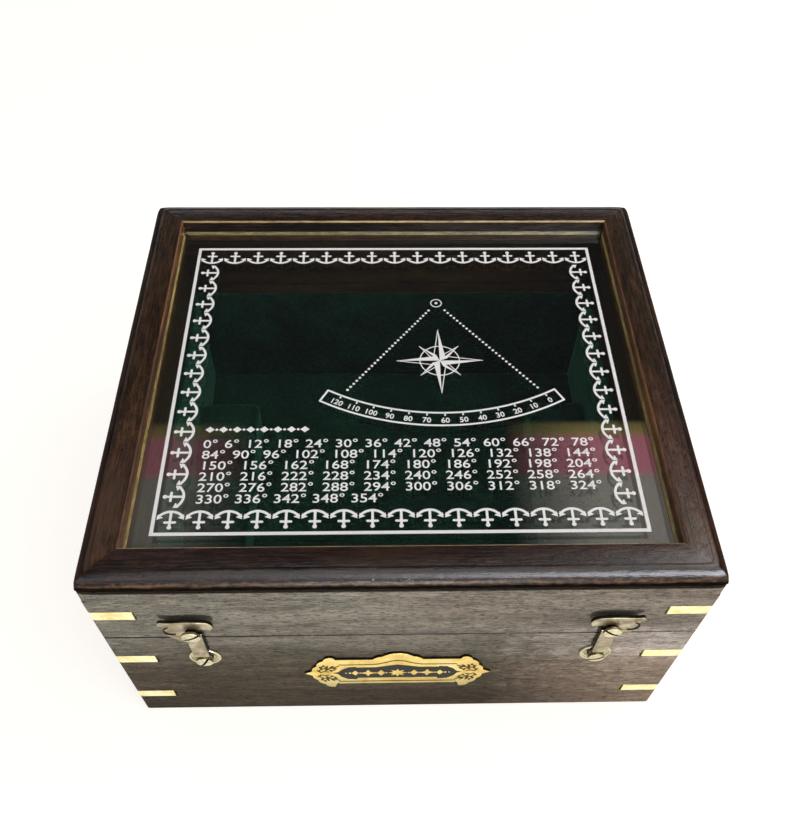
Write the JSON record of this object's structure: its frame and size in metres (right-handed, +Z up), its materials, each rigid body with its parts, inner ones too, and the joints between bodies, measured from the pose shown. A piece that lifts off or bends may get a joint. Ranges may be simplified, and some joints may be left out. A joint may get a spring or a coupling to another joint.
{
  "type": "hinged instrument case",
  "caption": "Wooden case with a glazed hinged lid, inlaid brass corner strips, two front swing hooks and a velvet-lined well for a hand instrument.",
  "frame": {"origin": "centre of the underside, on the plane that the case stands on", "axes": "+Z up; the front with the hooks and nameplate faces -Y; +X to the right seen from the front"},
  "size_m": [0.1654, 0.1591, 0.085],
  "materials": {
    "case_wood": "open-grained rosewood, thin satin polish",
    "frame_wood": "polished dark rosewood",
    "bead_wood": "polished reddish wood",
    "panel_wood": "plain sanded panel",
    "velvet": "dark green velvet",
    "glass": "clear float glass",
    "strip_brass": "bright brushed brass",
    "plate_brass": "polished brass with black enamel",
    "hook_brass": "aged satin brass",
    "screw_brass": "pale polished brass",
    "hinge_brass": "aged brass"
  },
  "bodies": {
    "base": {"base_front_board": "case_wood", "base_back_board": "case_wood", "base_left_board": "case_wood", "base_right_board": "case_wood", "bottom_panel": "panel_wood", "floor_lining": "velvet", "wall_lining_front": "velvet", "wall_lining_back": "velvet", "wall_lining_left": "velvet", "wall_lining_right": "velvet", "support_block_left": "velvet", "support_block_right": "velvet", "base_corner_strips_upper": "strip_brass", "base_corner_strips_lower": "strip_brass", "nameplate": "plate_brass", "pivot_screw_left": "screw_brass", "pivot_screw_right": "screw_brass", "cup_washer_left": "screw_brass", "cup_washer_right": "screw_brass", "hinge_base_leaf_left": "hinge_brass", "hinge_base_leaf_right": "hinge_brass", "hinge_pin_left": "hinge_brass", "hinge_pin_right": "hinge_brass", "hinge_base_screws": "hinge_brass"},
    "lid": {"lid_front_board": "case_wood", "lid_back_board": "case_wood", "lid_left_board": "case_wood", "lid_right_board": "case_wood", "lid_frame_front": "frame_wood", "lid_frame_back": "frame_wood", "lid_frame_left": "frame_wood", "lid_frame_right": "frame_wood", "glass_bead_front": "bead_wood", "glass_bead_back": "bead_wood", "glass_bead_left": "bead_wood", "glass_bead_right": "bead_wood", "glass_pane": "glass", "lid_corner_strips": "strip_brass", "catch_screw_left": "screw_brass", "catch_screw_right": "screw_brass", "hinge_lid_leaf_left": "hinge_brass", "hinge_lid_leaf_right": "hinge_brass", "hinge_lid_screws": "hinge_brass"},
    "hook_left": {"hook_left": "hook_brass"},
    "hook_right": {"hook_right": "hook_brass"}
  },
  "joints": [
    {"name": "lid_hinge", "type": "hinge", "parent": "base", "child": "lid", "pos_m": [0, 0.0773, 0.05415], "axis": [-1, 0, 0], "range_deg": [0, 105]},
    {"name": "hook_left_swing", "type": "hinge", "parent": "base", "child": "hook_left", "pos_m": [-0.0563, -0.075, 0.042], "axis": [0, -1, 0], "range_deg": [0, 110]},
    {"name": "hook_right_swing", "type": "hinge", "parent": "base", "child": "hook_right", "pos_m": [0.0563, -0.075, 0.042], "axis": [0, 1, 0], "range_deg": [0, 110]}
  ]
}
